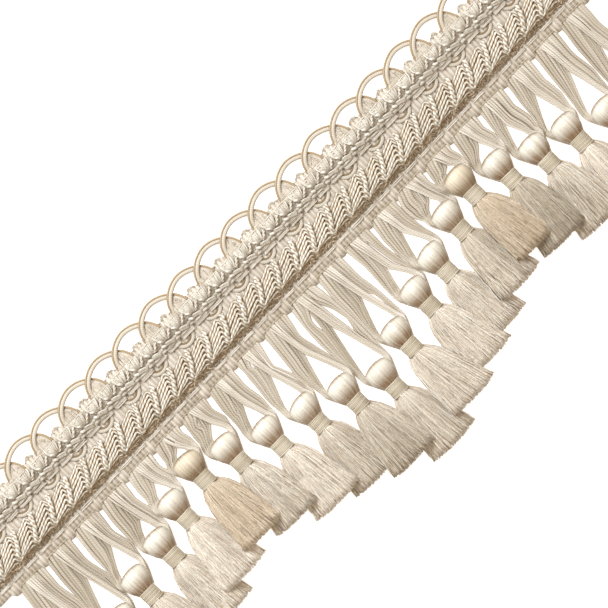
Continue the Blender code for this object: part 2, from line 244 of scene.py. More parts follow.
class Skein:
    """Strands of one yarn, gathered into one mesh. Every strand is swept along its points, in mm."""

    def __init__(self):
        self.points, self.faces, self.smooth, self.marks, self.count = [], [], [], [], 0

    def sides_of(self, path, upright=(0.0, 0.0, 1.0), closed=False):
        """The directions to the left of a path and out of its upper side, at each of its points."""
        along = np.roll(path, -1, 0) - np.roll(path, 1, 0) if closed else np.gradient(path, axis=0)
        left = np.cross(np.broadcast_to(upright, path.shape), along)
        left /= np.linalg.norm(left, axis=1)[:, None] + 1e-9
        out = np.cross(along, left)
        return left, out / (np.linalg.norm(out, axis=1)[:, None] + 1e-9)

    def add(self, points, marks, rings, sides, closed=False):
        """Joins rings of points into a tube with closed ends."""
        start = self.count
        last = rings if closed else rings - 1
        i, j = np.meshgrid(np.arange(last), np.arange(sides), indexing="ij")
        near, far, beside = i * sides, (i + 1) % rings * sides, (j + 1) % sides
        quads = np.stack([near + j, near + beside, far + beside, far + j], -1).reshape(-1, 4) + start
        self.faces += quads.tolist()
        self.smooth += [True] * len(quads)
        if not closed:
            self.faces += [list(range(start + sides - 1, start - 1, -1)),
                           list(range(start + (rings - 1) * sides, start + rings * sides))]
            self.smooth += [False, False]
        self.points.append(points.reshape(-1, 3))
        self.marks.append(marks.reshape(-1, 3))
        self.count += rings * sides

    def lay(self, path, wide, high=None, sides=6, tone=0.5, rim=0.45, phase=-math.pi / 2, twist_mm=0.0,
            upright=(0.0, 0.0, 1.0), closed=False):
        """One strand, so wide and high to each side of its path, marked with painted shade: pale on its
        upper side and deep underneath. Its rim is how pale its two edges are beside its crest, and twist_mm
        the length of one turn of the ticks round it."""
        path = np.asarray(path, float)
        rings = len(path)
        left, out = self.sides_of(path, upright, closed)
        corner = phase + 2 * math.pi * np.arange(sides) / sides
        wide = np.broadcast_to(wide, rings)
        high = wide if high is None else np.broadcast_to(high, rings)
        aside = (wide[:, None] * np.cos(corner))[..., None]
        above = (high[:, None] * np.sin(corner))[..., None]
        marks = np.empty((rings, sides, 3))
        # Painted shade: pale on the strand's upper side, rim at its two edges, deep underneath.
        marks[..., 0] = np.interp(np.sin(corner), (-1, 0, 1), (0, rim, 1))
        marks[..., 1] = np.broadcast_to(tone, rings)[:, None]
        marks[..., 2] = gone_along(path)[:, None] + chance.uniform(0, 5) + twist_mm * np.arange(sides) / sides
        self.add(path[:, None] + left[:, None] * aside + out[:, None] * above, marks, rings, sides, closed)

    def lay_two_ply(self, path, ply, apart, turn_mm, sides=5, tone=0.5, rim=0.3, flat=1.0):
        """A yarn of two strands twisted round each other, each so far from the yarn's middle, and
        pressed flat to a share of its height."""
        left, out = self.sides_of(path)
        turn = chance.uniform(0, 2 * math.pi) + 2 * math.pi * gone_along(path) / turn_mm
        for half_turn in (0.0, math.pi):
            aside = left * np.cos(turn + half_turn)[:, None] + out * flat * np.sin(turn + half_turn)[:, None]
            self.lay(path + aside * apart, ply, np.multiply(ply, flat), sides=sides, rim=rim,
                     tone=tone + chance.uniform(-0.08, 0.08))

    def make(self, name, material, node_names):
        """All the strands as one piece."""
        mesh = bpy.data.meshes.new(name)
        mesh.from_pydata(np.concatenate(self.points) * MM, [], self.faces)
        marks = mesh.attributes.new("strand", "FLOAT_VECTOR", "POINT")
        marks.data.foreach_set("vector", np.concatenate(self.marks).ravel())
        piece = bpy.data.objects.new(name, mesh)
        bpy.context.collection.objects.link(piece)
        return finish_piece(piece, material, node_names, self.smooth)


# Two crossing arches leave a pointed oval, the lens, which a tongue of the tape fills with warps and
# curls. The picots stand inside the arches, between the lenses.
half_length = LENGTH / 2
LENS_HEIGHT = 7.0
LENS_HALF = 4.3
LENS_FOOT = 17.6
WARP_PITCH = 0.62
CURLS = 24
PICOTS = 26
MIDDLE_PICOTS = 14
PICOT_FOOT = 18.4
PICOT_TOP = 19.6
tufts = Skein()
for place in range(-12, 12):
    arch = place * TASSEL_PITCH + LOOP_SHIFT
    if abs(arch) < half_length - 4:
        for y, half in ((19.2, 2.7), (19.8, 1.9)):
            edge = smooth_path(
                [(arch - half, y - 0.3, 0.6), (arch, y, 1.0), (arch + half, y - 0.3, 0.6)], 0.9)
            tufts.lay(edge, 0.45, 0.35, sides=5, tone=0.5, rim=0.6)
        for picot in range(PICOTS):
            scatter = 2.0 if picot < MIDDLE_PICOTS else 5.2
            middle = arch + chance.uniform(-scatter, scatter)
            reach = chance.uniform(0.25, 0.7)
            mound = max(0.0, 1.5 - 0.35 * abs(middle - arch) ** 1.6)
            top = PICOT_TOP + mound + chance.uniform(-0.5, 0.15)
            high = chance.uniform(0.9, 1.7)
            loop = smooth_path([
                (middle - reach, PICOT_FOOT, 0.9), (middle - reach * 1.1, top - 0.6, high),
                (middle, top, high), (middle + reach * 1.1, top - 0.6, high),
                (middle + reach, PICOT_FOOT, 0.9)], 0.9)
            tufts.lay(loop, chance.uniform(0.13, 0.19), sides=4, tone=chance.uniform(0.35, 0.85), rim=0.6)
    lens = arch + TASSEL_PITCH / 2
    if abs(lens) < half_length - 5:
        for x in np.arange(-LENS_HALF, LENS_HALF + 0.01, WARP_PITCH):
            height = LENS_HEIGHT * (1 - (abs(x) / (LENS_HALF + 0.4)) ** 1.5)
            warp = smooth_path([
                (lens + x, 16.8, 2.9),
                (lens + x * 0.95 + chance.uniform(-0.2, 0.2), LENS_FOOT + height * 0.5, 2.5),
                (lens + x * 0.7, LENS_FOOT + height, 2.5)], 1.0)
            tufts.lay(warp, 0.42, 0.36, sides=5, tone=chance.uniform(0.15, 0.8), rim=0.4)
        for _ in range(CURLS):
            x = chance.uniform(-0.9, 0.9)
            share = chance.uniform(0.0, 0.85)
            height = LENS_HEIGHT * (1 - abs(x) ** 1.5) * share
            turn = chance.uniform(0, math.pi)
            curl = chance.uniform(0.5, 1.1)
            spot = np.array([
                lens + x * LENS_HALF * (1 - 0.3 * share), LENS_FOOT + height, chance.uniform(2.7, 3.0)])
            reach = np.array([math.cos(turn), math.sin(turn), 0]) * curl
            bow = np.array([-math.sin(turn), math.cos(turn), 0.4]) * curl * 0.4
            tufts.lay(smooth_path([spot - reach, spot + bow, spot + reach], 0.6), chance.uniform(0.14, 0.2),
                      sides=4, tone=chance.uniform(0.4, 0.9), rim=0.6)
# Dull brownish cotton thread.
tuft_thread = yarn_finish("pale_brown_cotton_thread", "#e2dace", "#a99a80", 0.9, 0.2)
tufts.make("picots_and_tufts", tuft_thread, ["heading_tape"])

# Each float's y and its height: five in the row above the plait, two in the row below it.
UPPER_FLOATS = ((6.3, 2.3), (6.8, 2.5), (7.3, 2.7), (7.85, 2.9), (8.4, 3.1))
LOWER_FLOATS = ((-12.9, 2.1), (-13.6, 2.1))
FLOAT_SPAN = 8.2
STITCH_PITCH = 8.62
STITCH_START = 1.85
stitch_lefts = np.arange(STITCH_START - 22 * STITCH_PITCH, half_length - STITCH_PITCH, STITCH_PITCH)
floats = Skein()
for row in (UPPER_FLOATS, LOWER_FLOATS):
    for left in stitch_lefts:
        for y, rise in row:
            start = left + chance.uniform(0.2, 0.8)
            end = left + FLOAT_SPAN + chance.uniform(-0.6, 0.2)
            middle_y = y + chance.uniform(-0.15, 0.15)
            jump = smooth_path([
                (start, y, 1.2), (start + 0.7, y, rise - 0.2), ((start + end) / 2, middle_y, rise),
                (end - 0.7, y, rise - 0.2), (end, y, 1.2)], 1.5)
            floats.lay(jump, 0.3, 0.26, sides=5, tone=chance.uniform(0.6, 1.15), rim=0.6)
# Pale grey viscose, flatter and glossier than the cotton under it.
float_thread = yarn_finish("grey_viscose_float", "#e9e3d9", "#b3a389", 0.5, 0.1)
floats.make("float_threads", float_thread, ["heading_tape"])

edges = Skein()
for place in range(-11, 11):
    lip = (place + 0.5) * TASSEL_PITCH + GROUP_SHIFT
    edge = smooth_path([
        (lip - LIP_BASE_HALF, TAPE_FOOT + 0.1, 1.0), (lip - 1.9, TAPE_FOOT - 1.5, 0.8),
        (lip, TAPE_FOOT - LIP_DEPTH - 0.1, 0.8), (lip + 1.9, TAPE_FOOT - 1.5, 0.8),
        (lip + LIP_BASE_HALF, TAPE_FOOT + 0.1, 1.0)], 0.8)
    edges.lay(edge, 0.2, 0.3, sides=5, tone=chance.uniform(0.3, 0.6))
# The same cotton, coloured dark as painted shade where the tape's edge turns down round the lip.
shaded_lip_thread = yarn_finish("selvedge_thread_painted_shade", "#a8946f", "#6d5839", 0.9, 0.1)
edges.make("lip_selvedges", shaded_lip_thread, ["heading_tape"])

WEFT_Y = -17.1
WEFT_HALF = 6.8
wefts = Skein()
for place in range(-10, 11):
    middle = place * TASSEL_PITCH + GROUP_SHIFT
    ripple = [(middle + x, WEFT_Y + chance.uniform(-0.12, 0.12), 1.35 + 0.1 * (-1) ** i)
              for i, x in enumerate(np.linspace(-6.4, 6.4, 9))]
    weft = smooth_path(
        [(middle - WEFT_HALF, WEFT_Y, 0.7)] + ripple + [(middle + WEFT_HALF, WEFT_Y, 0.7)], 1.2)
    wefts.lay(weft, 0.18, sides=4, tone=chance.uniform(0.4, 0.7), rim=0.6)
# Fine cotton in the tape's own colour.
weft_thread = yarn_finish("fine_cotton_weft", "#e6ddca", "#b39d76", 0.85, 0.08)
wefts.make("binding_wefts", weft_thread, ["heading_tape"])


# Looped gimps: two pairs of gimp cord, each a stiff core closely wrapped in fine viscose thread, tan
# outside and cream inside. Each pair runs up in an arch, down under the chain braid and round in a
# small turn, and every arch passes over the arch before it.
GIMP_HEIGHT = 0.6
ARCH_HALF_WIDTH = 12.3
ARCH_SPRING = 17.6
ARCH_HEIGHT = 10.0
ARCH_FULLNESS = 1.8
TURN_HALF_WIDTH = 4.15
TURN_DEPTH = 3.7
TURN_CENTRE_Y = 7.1
CROSSING_LIFT = 1.3
CROSSING_AT = 137
CROSSING_SPAN = 48
GIMP_LEVEL = 1.9
TURN_LEVEL = 1.32
WRAP_TICK = 0.9


def gimp_line(first_arch, to_side):
    """The line of one cord, to one side of the middle of its pair."""
    fine = []
    for place in range(first_arch, 13, 2):
        arch = place * TASSEL_PITCH + LOOP_SHIFT
        taller = chance.uniform(-0.4, 0.3)
        leaning = chance.uniform(-0.6, 0.6)
        for degrees in range(180, -1, -6):
            turn = math.radians(degrees)
            across, up = math.cos(turn), math.sin(turn)
            away = (degrees - CROSSING_AT) / CROSSING_SPAN
            lift = CROSSING_LIFT * max(0.0, math.cos(min(abs(away), 1.0) * math.pi / 2)) ** 1.2
            aside = math.copysign(abs(across) ** (2 / ARCH_FULLNESS), across)
            fine.append((arch + leaning * up + ARCH_HALF_WIDTH * aside,
                         ARCH_SPRING + (ARCH_HEIGHT + taller) * abs(up) ** (2 / ARCH_FULLNESS),
                         GIMP_LEVEL + lift))
        for degrees in range(180, 361, 15):
            turn = math.radians(degrees)
            fine.append((arch + TASSEL_PITCH + TURN_HALF_WIDTH * math.cos(turn),
                         TURN_CENTRE_Y + TURN_DEPTH * math.sin(turn), TURN_LEVEL))
    path = smooth_path(fine, 0.8)
    path = path[np.abs(path[:, 0]) < half_length - 1.5]
    along = np.gradient(path, axis=0)
    along /= np.linalg.norm(along[:, :2], axis=1)[:, None]
    return path + np.column_stack([-along[:, 1], along[:, 0], 0 * along[:, 0]]) * to_side


# Wrapped viscose thread: the wraps are 0.25 mm apart, drawn 0.9 mm apart so that they show.
tan_gimp = yarn_finish(
    "tan_wrapped_gimp", "#c0aa8a", "#866745", 0.5, 0.05, fleck=0.1, tick_mm=WRAP_TICK, tick=0.07)
cream_gimp = yarn_finish(
    "cream_wrapped_gimp", "#dad5c9", "#957248", 0.42, 0.05, fleck=0.1, tick_mm=WRAP_TICK, tick=0.16)
for number, first_arch in ((1, -12), (2, -11)):
    # Both cords of a pair repeat the same draws, so that they run side by side. The tan one is pressed flat
    # where it runs low under the braid, and painted darker there as shade.
    state = chance.bit_generator.state
    for dye, to_side, half_wide, material in (
            ("tan", 0.9, 0.5, tan_gimp), ("cream", -0.36, 1.03, cream_gimp)):
        chance.bit_generator.state = state
        gimp = Skein()
        path = gimp_line(first_arch, to_side)
        pressed = np.interp(path[:, 2], (TURN_LEVEL, GIMP_LEVEL), (0.6, 1.0))
        tone = 2.0 * pressed - 1.45 if dye == "tan" else 0.55
        gimp.lay(path, half_wide, GIMP_HEIGHT * pressed, sides=10, tone=tone, rim=0.12)
        gimp.make(f"loop_gimp_{number}_{dye}", material, [f"loop_gimp_{number}"])


# Chain braid: soft ivory yarn crocheted in two rows of knots over the limbs of the gimp loops. Each
# stitch is a fan of threads gathered to a point, a small ring at its upper left, a two-ply thread
# that slants back up, and a knob and a slanting leaf in the lower row.
def hand_made(left, shake_x, shake_y):
    """A function for places in the stitch that starts at left, each shaken a little, as hand work is."""
    def at(across, y, z):
        return (left + across + chance.uniform(-shake_x, shake_x), y + chance.uniform(-shake_y, shake_y), z)
    return at


# CHAIN_CORDS gives y and height of the lengthwise cords under the stitches.
CHAIN_CORDS = ((8.8, 2.7), (10.2, 3.0), (11.8, 3.3), (13.4, 3.6), (15.0, 3.7), (16.2, 3.5))
CHAIN_SHAKE = (0.14, 0.16)
FAN_THREADS = 8
LEAF_THREADS = 4
CHAIN_TWIST = 2.4
chain = Skein()
for y, z in CHAIN_CORDS:
    spots = np.linspace(-half_length + 0.3, half_length - 0.3, 150)
    wander = chance.uniform(-0.15, 0.15, (2, len(spots)))
    chain.lay(np.column_stack([spots, y + wander[0], z + wander[1]]), 1.0, 0.6, sides=6,
              tone=chance.uniform(0.2, 0.8, len(spots)), rim=0.5)
for left in stitch_lefts:
    at = hand_made(left, *CHAIN_SHAKE)
    tone = chance.uniform(0.4, 0.6)
    # The filling threads between the fans are painted darker, as shade between them.
    for across in (6.6, 7.3, 8.0, 8.7):
        filling = smooth_path(
            [at(across, 16.7, 4.0), at(across, 14.4, 4.3), at(across - 0.2, 11.6, 3.7)], 1.0)
        chain.lay(filling, 0.42, 0.36, sides=5, tone=tone + chance.uniform(-0.45, -0.1))
    for thread in range(FAN_THREADS):
        share = thread / (FAN_THREADS - 1)
        puff = 0.5 * math.sin(math.pi * share) + chance.uniform(-0.25, 0.15)
        fan = smooth_path([
            at(0.4 + 5.9 * share, 16.9, 4.2), at(0.2 + 5.9 * share, 15.3, 5.1 + puff),
            at(1.0 + 4.3 * share, 13.4, 5.3 + puff), at(2.4 + 1.9 * share, 11.8, 4.3)], 0.8)
        paler = 0.3 if thread == 0 else chance.uniform(-0.3, 0.3)
        chain.lay(fan, 0.5, 0.46, sides=6, tone=tone + paler, twist_mm=CHAIN_TWIST)
    brim = smooth_path([at(0.4, 16.9, 4.3), at(2.4, 16.7, 5.1), at(4.6, 16.8, 5.1), at(6.6, 16.8, 4.3)], 1.0)
    chain.lay(brim, 0.34, 0.3, sides=5, tone=tone + 0.3)
    ring_turn = np.linspace(0, 2 * math.pi, 11, endpoint=False)
    ring = np.column_stack([
        left + 1.8 + 0.75 * np.cos(ring_turn), 14.9 + 0.9 * np.sin(ring_turn), 5.8 + 0 * ring_turn])
    chain.lay(ring, 0.33, sides=5, tone=tone + 0.3, closed=True)
    upper_knob = smooth_path([at(0.7, 13.7, 4.6), at(1.4, 12.9, 5.7), at(2.2, 12.3, 4.9)], 0.5)
    chain.lay(upper_knob, 0.72, 0.6, sides=7, tone=tone + 0.5)
    back_thread = smooth_path([at(4.9, 11.5, 4.0), at(6.3, 12.6, 5.2), at(8.2, 14.6, 4.8)], 0.55)
    chain.lay_two_ply(back_thread, 0.42, 0.34, 3.2, tone=tone + 0.35)
    lower_knob = smooth_path([at(0.2, 10.7, 3.8), at(1.0, 10.3, 4.8), at(2.0, 9.8, 3.9)], 0.5)
    chain.lay(lower_knob, 0.72, 0.6, sides=8, tone=tone + 0.5)
    for thread in range(LEAF_THREADS):
        leaf = smooth_path([
            at(2.3, 11.0 - 0.42 * thread, 3.8), at(4.3, 10.6 - 0.46 * thread, 4.7 - 0.2 * thread),
            at(7.0 - 0.2 * thread, 9.5 - 0.4 * thread, 3.6)], 0.9)
        # The leaf's top thread is painted paler, as a highlight along its upper edge.
        paler = 0.3 if thread == 0 else chance.uniform(-0.4, 0.0)
        chain.lay(leaf, 0.42, 0.38, sides=6, tone=tone + paler, twist_mm=CHAIN_TWIST)
    for y in (8.8, 8.3):
        tie = smooth_path([at(0.8, y, 3.2), at(3.4, y - 0.2, 3.6), at(6.8, y, 3.2)], 1.2)
        chain.lay(tie, 0.32, sides=5, tone=tone + chance.uniform(-0.3, 0.2))
# Soft spun viscose, nearly white, with tan painted shade only deep between the threads.
chain_yarn = yarn_finish(
    "soft_ivory_crochet_yarn", "#dad8d0", "#b48a53", 0.65, 0.12, fleck=0.42, fleck_mm=0.6,
    tick_mm=CHAIN_TWIST / 2, tick=0.2)
chain.make("chain_braid_yarns", chain_yarn, ["chain_braid"])


# Plaited braid: a thick flat plait of two-ply ivory yarn on a ground of cotton, coloured brown as
# painted shade. Each lobe is a slanting cord with seven yarns laid from it up to a fold and straight
# down again, so that the lobes look like leaning chevrons.
LOBE_PITCH = 11.04
LOBE_START = -14.2
LOBE_WIDTH = 15.5
PLAIT_SHAKE = (0.12, 0.12)
PLY_MM = 2.4
STITCH_SPACING = 1.02
STRAY_THREADS = 13
# For each yarn of a lobe: x and y of its fold, the height of its crown, and how far it then runs down.
FOLDS = ((8.5, -8.7, 4.4, 0.6), (9.7, -6.9, 5.4, 1.9), (10.9, -5.0, 5.9, 2.6), (12.0, -3.1, 6.0, 2.9),
         (13.0, -1.2, 5.9, 3.0), (13.8, 0.6, 5.5, 3.1), (14.2, 2.1, 4.7, 2.6))
# The filler cords that pad the plait out: y, height, half width and half thickness of each.
FILLERS = ((-8.4, 3.2, 1.2, 1.2), (-6.8, 3.9, 1.5, 1.4), (-5.0, 4.3, 1.5, 1.4), (-3.2, 4.3, 1.5, 1.4),
           (-1.5, 4.0, 1.5, 1.4), (-0.6, 3.4, 1.1, 1.2))
stitches = Skein()
# Short stitches and curls along the plait's foot, coloured brown as the plait's painted shadow on the tape.
for x in np.arange(-half_length + 0.8, half_length - 0.8, STITCH_SPACING):
    foot = -11.3 + chance.uniform(-0.8, 0.6)
    stitches.lay([(x, -8.6, 3.6), (x + chance.uniform(-0.2, 0.2), -10.4, 2.4), (x, foot, 1.4)], 0.55, sides=5,
                 tone=chance.uniform(0.1, 0.8))
for y, z, wide, high in FILLERS:
    filler = [(x, y, z) for x in np.linspace(-half_length + 0.4, half_length - 0.4, 90)]
    stitches.lay(filler, wide, high, tone=0.6)
for place in range(-17, 17):
    for _ in range(STRAY_THREADS):
        x = place * LOBE_PITCH + chance.uniform(0, LOBE_PITCH)
        y = chance.uniform(-11.6, -9.2)
        turn = chance.uniform(-0.9, 0.9)
        curl = chance.uniform(0.6, 1.4)
        z = np.interp(y, (-11.5, -9.0), (2.0, 4.1))
        stitches.lay(smooth_path([
            (x - curl * math.cos(turn), y - curl * math.sin(turn), z - 0.3), (x, y, z + 0.4),
            (x + curl * math.cos(turn), y + curl * math.sin(turn), z - 0.3)], 0.6),
            chance.uniform(0.18, 0.32), sides=4, tone=chance.uniform(0.4, 2.2), rim=0.6)
# Cotton coloured brown as painted shade: warm lines between the yarns, and the plait's shadow along its foot.
shaded_ground_cotton = yarn_finish("cotton_ground_painted_shade", "#c9b9a3", "#967f67", 0.9, 0.1, fleck=0.35, fleck_mm=0.6)
stitches.make("plaited_braid_ground", shaded_ground_cotton, ["plaited_braid"])

plait = Skein()
for lobe in range(-18, 18):
    left = LOBE_START + lobe * LOBE_PITCH
    if left < -half_length or left + LOBE_WIDTH > half_length:
        continue
    at = hand_made(left, *PLAIT_SHAKE)
    tone = chance.uniform(0.5, 0.7)
    for fold_x, fold_y, crown, leg in FOLDS:
        run = 9.1 + chance.uniform(-0.2, 0.2)
        rise = np.interp(fold_y, (-8.9, -7.6, -4.8, 0.8), (0.4, 1.6, 3.4, 3.6)) + chance.uniform(-0.2, 0.2)
        path = smooth_path([
            at(fold_x - run, fold_y - rise - 0.3, crown - 0.4),
            at(fold_x - run * 0.66, fold_y - rise * 0.68, crown),
            at(fold_x - run * 0.3, fold_y - rise * 0.3, crown + 0.1), at(fold_x - 0.3, fold_y, crown + 0.1),
            at(fold_x + 0.25, fold_y - 0.45, crown), at(fold_x + 0.55, fold_y - leg * 0.7, crown - 0.2),
            at(fold_x + 0.65, fold_y - leg, crown - 1.1)], 0.72)
        wide = np.interp(np.arange(len(path)), (0, len(path) * 0.7, len(path) * 0.8), (0.7, 0.7, 0.56))
        # The lowest yarn lies in the plait's shade and is painted darker.
        shaded = 0.3 if fold_y < -7 else 0
        plait.lay(path, wide, 0.58, sides=6, tone=tone + chance.uniform(-0.1, 0.2) - shaded, rim=-0.6,
                  phase=0.0, twist_mm=2 * PLY_MM)
    # A short yarn fills the wedge between the folds of the lobe before and this lobe's slanting cord.
    wedge = smooth_path([at(3.4, 1.9, 3.4), at(3.9, 1.1, 4.9), at(4.0, -0.96, 4.9), at(3.6, -2.4, 3.8)], 0.72)
    plait.lay(wedge, 0.5, 0.45, sides=6, tone=tone + chance.uniform(-0.1, 0.2), rim=-0.6, phase=0.0,
              twist_mm=2 * PLY_MM)
    slanting_cord = smooth_path([
        at(-0.3, -9.5, 3.0), at(0.9, -7.6, 5.5), at(2.4, -5.5, 6.4), at(3.9, -3.5, 6.6), at(5.1, -1.0, 6.4),
        at(5.9, 1.1, 5.7), at(6.5, 2.3, 4.2)], 0.5)
    plait.lay_two_ply(slanting_cord, 0.8, 0.66, -2 * PLY_MM, sides=6, tone=tone + 0.2, rim=-0.5, flat=0.75)
# Two-ply viscose and cotton yarn, the plies painted pale on top and tan between, as highlight and shade.
plait_yarn = yarn_finish(
    "two_ply_ivory_plait_yarn", "#e7e8df", "#99703b", 0.5, 0.08, fleck=0.14, tick_mm=PLY_MM, tick=0.26)
plait.make("plaited_braid_yarns", plait_yarn, ["plaited_braid"])


# Tassels: each hangs on four bundles of four two-ply viscose cords. The outer bundles run straight,
# the inner ones cross, and all go round the head's flanks and under the neck. The head is satin yarn
# folded over, the neck nine wraps of thread, the skirt some hundred and seventy cut yarns.

# For each tassel: its place in the row, the head's shift along the trim, how far down its top is, and
# its tilt in degrees; how far out the left group of cords reaches high up and low down, and then the
# right one; how far down the inner bundles part, how far aside, and how far out they stand left and
# right at the head; the hem's shift and half width; the tassel's rank, as its skirt lies over that of
# a neighbour of lower rank; and how much paler than the rest the skirt looks.
TASSELS = (
    (-10, -1.6, 62.9, 2, (8.4, 9.2, 6.8, 8.4), (21.5, 0.0, 5.5, 5.5), 0.6, 12.2, 3, 0.0),
    (-9, -1.2, 55.0, -3, (8.2, 9.0, 6.4, 8.2), (20.0, 0.2, 5.0, 5.2), -1.2, 12.2, 4, 0.2),
    (-8, -2.1, 48.0, 3, (8.2, 9.0, 6.0, 8.0), (17.4, 0.8, 4.3, 6.0), 0.4, 12.6, 3, 0.0),
    (-7, -0.4, 43.6, 0, (8.2, 8.8, 6.6, 8.4), (18.6, 0.6, 3.4, 3.4), 0.6, 13.2, 2, 0.2),
    (-6, -1.4, 36.5, 2, (8.2, 8.8, 6.8, 8.2), (12.2, -0.6, 3.2, 4.0), 0.6, 12.8, 3, 0.45),
    (-5, -1.0, 29.9, -3, (7.6, 8.4, 7.0, 8.0), (8.8, 0.2, 2.2, 3.4), 1.3, 12.4, 4, 0.15),
    (-4, -1.7, 36.1, 1, (8.4, 9.0, 6.6, 8.2), (12.1, 0.9, 2.2, 5.6), 0.0, 12.8, 3, 0.2),
    (-3, -1.3, 44.0, 3, (8.6, 9.0, 6.6, 7.8), (17.2, -0.4, 3.6, 4.0), -0.2, 13.2, 2, 0.3),
    (-2, 0.1, 49.1, 7, (7.6, 9.0, 4.7, 8.2), (17.2, 0.2, 5.6, 3.8), 0.6, 12.6, 1, 0.05),
    (-1, 0.9, 55.2, 1, (8.2, 9.7, 4.9, 6.9), (20.4, 0.2, 5.6, 5.2), 0.6, 13.6, 2, -0.15),
    (0, 0.2, 62.9, 0, (8.8, 9.3, 9.2, 9.6), (21.6, -0.2, 5.7, 5.6), 0.9, 13.2, 1, 0.2),
    (1, 0.6, 55.0, 1, (7.6, 7.6, 7.4, 8.8), (21.2, 1.1, 5.5, 4.4), 4.2, 12.8, 4, 0.1),
    (2, 2.1, 48.6, 2, (5.6, 6.4, 7.4, 8.8), (21.0, 0.9, 3.8, 4.6), 2.0, 13.4, 3, 0.2),
    (3, 0.9, 43.6, 5, (8.4, 8.8, 7.2, 8.4), (14.8, -0.4, 4.6, 4.2), 1.8, 12.6, 1, 0.15),
    (4, 1.3, 35.6, 3, (9.2, 9.0, 7.4, 8.8), (12.9, 1.4, 4.2, 2.4), 1.6, 12.0, 2, -0.1),
    (5, -0.8, 28.8, 4, (8.0, 8.8, 7.0, 8.0), (8.6, 0.3, 1.8, 3.2), 5.0, 12.2, 3, 0.15),
    (6, -1.7, 35.9, 2, (8.2, 9.2, 6.6, 8.0), (11.8, 0.0, 3.9, 4.1), -2.4, 12.6, 2, -0.3),
    (7, -2.4, 42.7, -2, (8.4, 9.6, 6.0, 7.2), (15.1, -3.2, 4.4, 2.8), -1.2, 12.8, 1, 0.1),
    (8, -3.2, 46.6, 0, (8.8, 10.0, 6.0, 6.8), (15.5, -2.0, 5.7, 4.2), 0.4, 12.6, 0, 0.4),
    (9, -3.0, 54.2, 3, (8.6, 10.0, 6.0, 7.0), (19.5, -1.6, 5.4, 4.8), -0.4, 12.6, 2, 0.0),
    (10, -2.2, 62.0, -2, (8.6, 9.6, 6.6, 7.8), (21.5, -1.0, 5.4, 5.0), 0.5, 12.6, 1, 0.0),
)
# The places of the two tan tassels, and of those whose hems lie in shade.
TAN_TASSELS = (-5, 5)
DIM_HEMS = (-4, -2, -1, 0, 5, 6, 7)
# Where a side's outer bundle stands apart from the inner one: by place and side, how far down the slit
# starts and ends, and how wide it opens.
SLITS = {(0, -1): (8.0, 21.0, 1.7), (0, 1): (8.0, 32.0, 3.2), (-3, -1): (12.0, 18.5, 1.5),
         (-4, -1): (5.0, 11.5, 1.6), (-2, -1): (3.5, 10.5, 1.5), (1, 1): (21.5, 33.5, 1.7)}
# The axis of head and neck lies so high over the table.
AXIS = 5.5
# Each bundle: the side where it meets the head, whether it crosses over to it, its height and its tone,
# painted darker for bundles that lie back in shade and paler for the front crossing one on top.
BUNDLES = ((-1, False, 1.4, 0.35), (1, False, 1.6, 0.45), (-1, True, 1.2, 0.2), (1, True, 3.2, 0.75))
BUNDLE_CORDS = 4
CORD_RADIUS = 0.55
TWIST = 2.4
CORDS_START = -15.7
# How the cords go round the head: y from its top, x from its middle, and height.
OUTER_BEND = ((-1.5, 7.4, 3.4), (-3.4, 6.7, 3.3), (-5.6, 5.7, 3.2), (-10.3, 3.4, 4.0))
INNER_BEND = ((-1.5, 6.8, 4.2), (-3.4, 6.1, 4.1), (-5.6, 5.2, 3.8), (-10.3, 3.4, 4.2))
HEAD_LENGTH = 10.0
HEAD_FILAMENTS = 80
# Down the head: how far from its top, its half width there, and its half thickness.
HEAD_DOWN = np.array([-0.4, -0.3, 0.0, 0.35, 1.0, 2.0, 3.2, 4.6, 6.0, 7.2, 8.2, 9.0, 9.6, 10.1, 10.4])
HEAD_HALF = np.array([2.8, 4.9, 5.9, 6.15, 6.3, 6.45, 6.5, 6.5, 6.35, 6.0, 5.5, 5.0, 4.6, 4.2, 3.6])
HEAD_THICK = np.array([0.8, 1.7, 2.5, 3.1, 3.9, 4.6, 5.1, 5.3, 5.15, 4.8, 4.4, 4.05, 3.8, 3.6, 3.2])
NECK_END = 16.6
NECK_WRAPS = 9
NECK_RADIUS = 4.15
HEM = 48.6
# Layers of the skirt: how many yarns each has, how far it lies under the top face, and how many rings
# each yarn has. The under layer lies on the under face.
SKIRT_LAYERS = (("top", 118, 0.0, 12), ("middle", 24, 0.5, 6), ("under", 30, 0.0, 6))
STRAY_SHARE = 0.05
# How far the side of a skirt is lifted over its neighbour, and the share that it is pressed down by
# one that lies on it.
OVER_RISE = 3.0
UNDER_SINK = 0.6


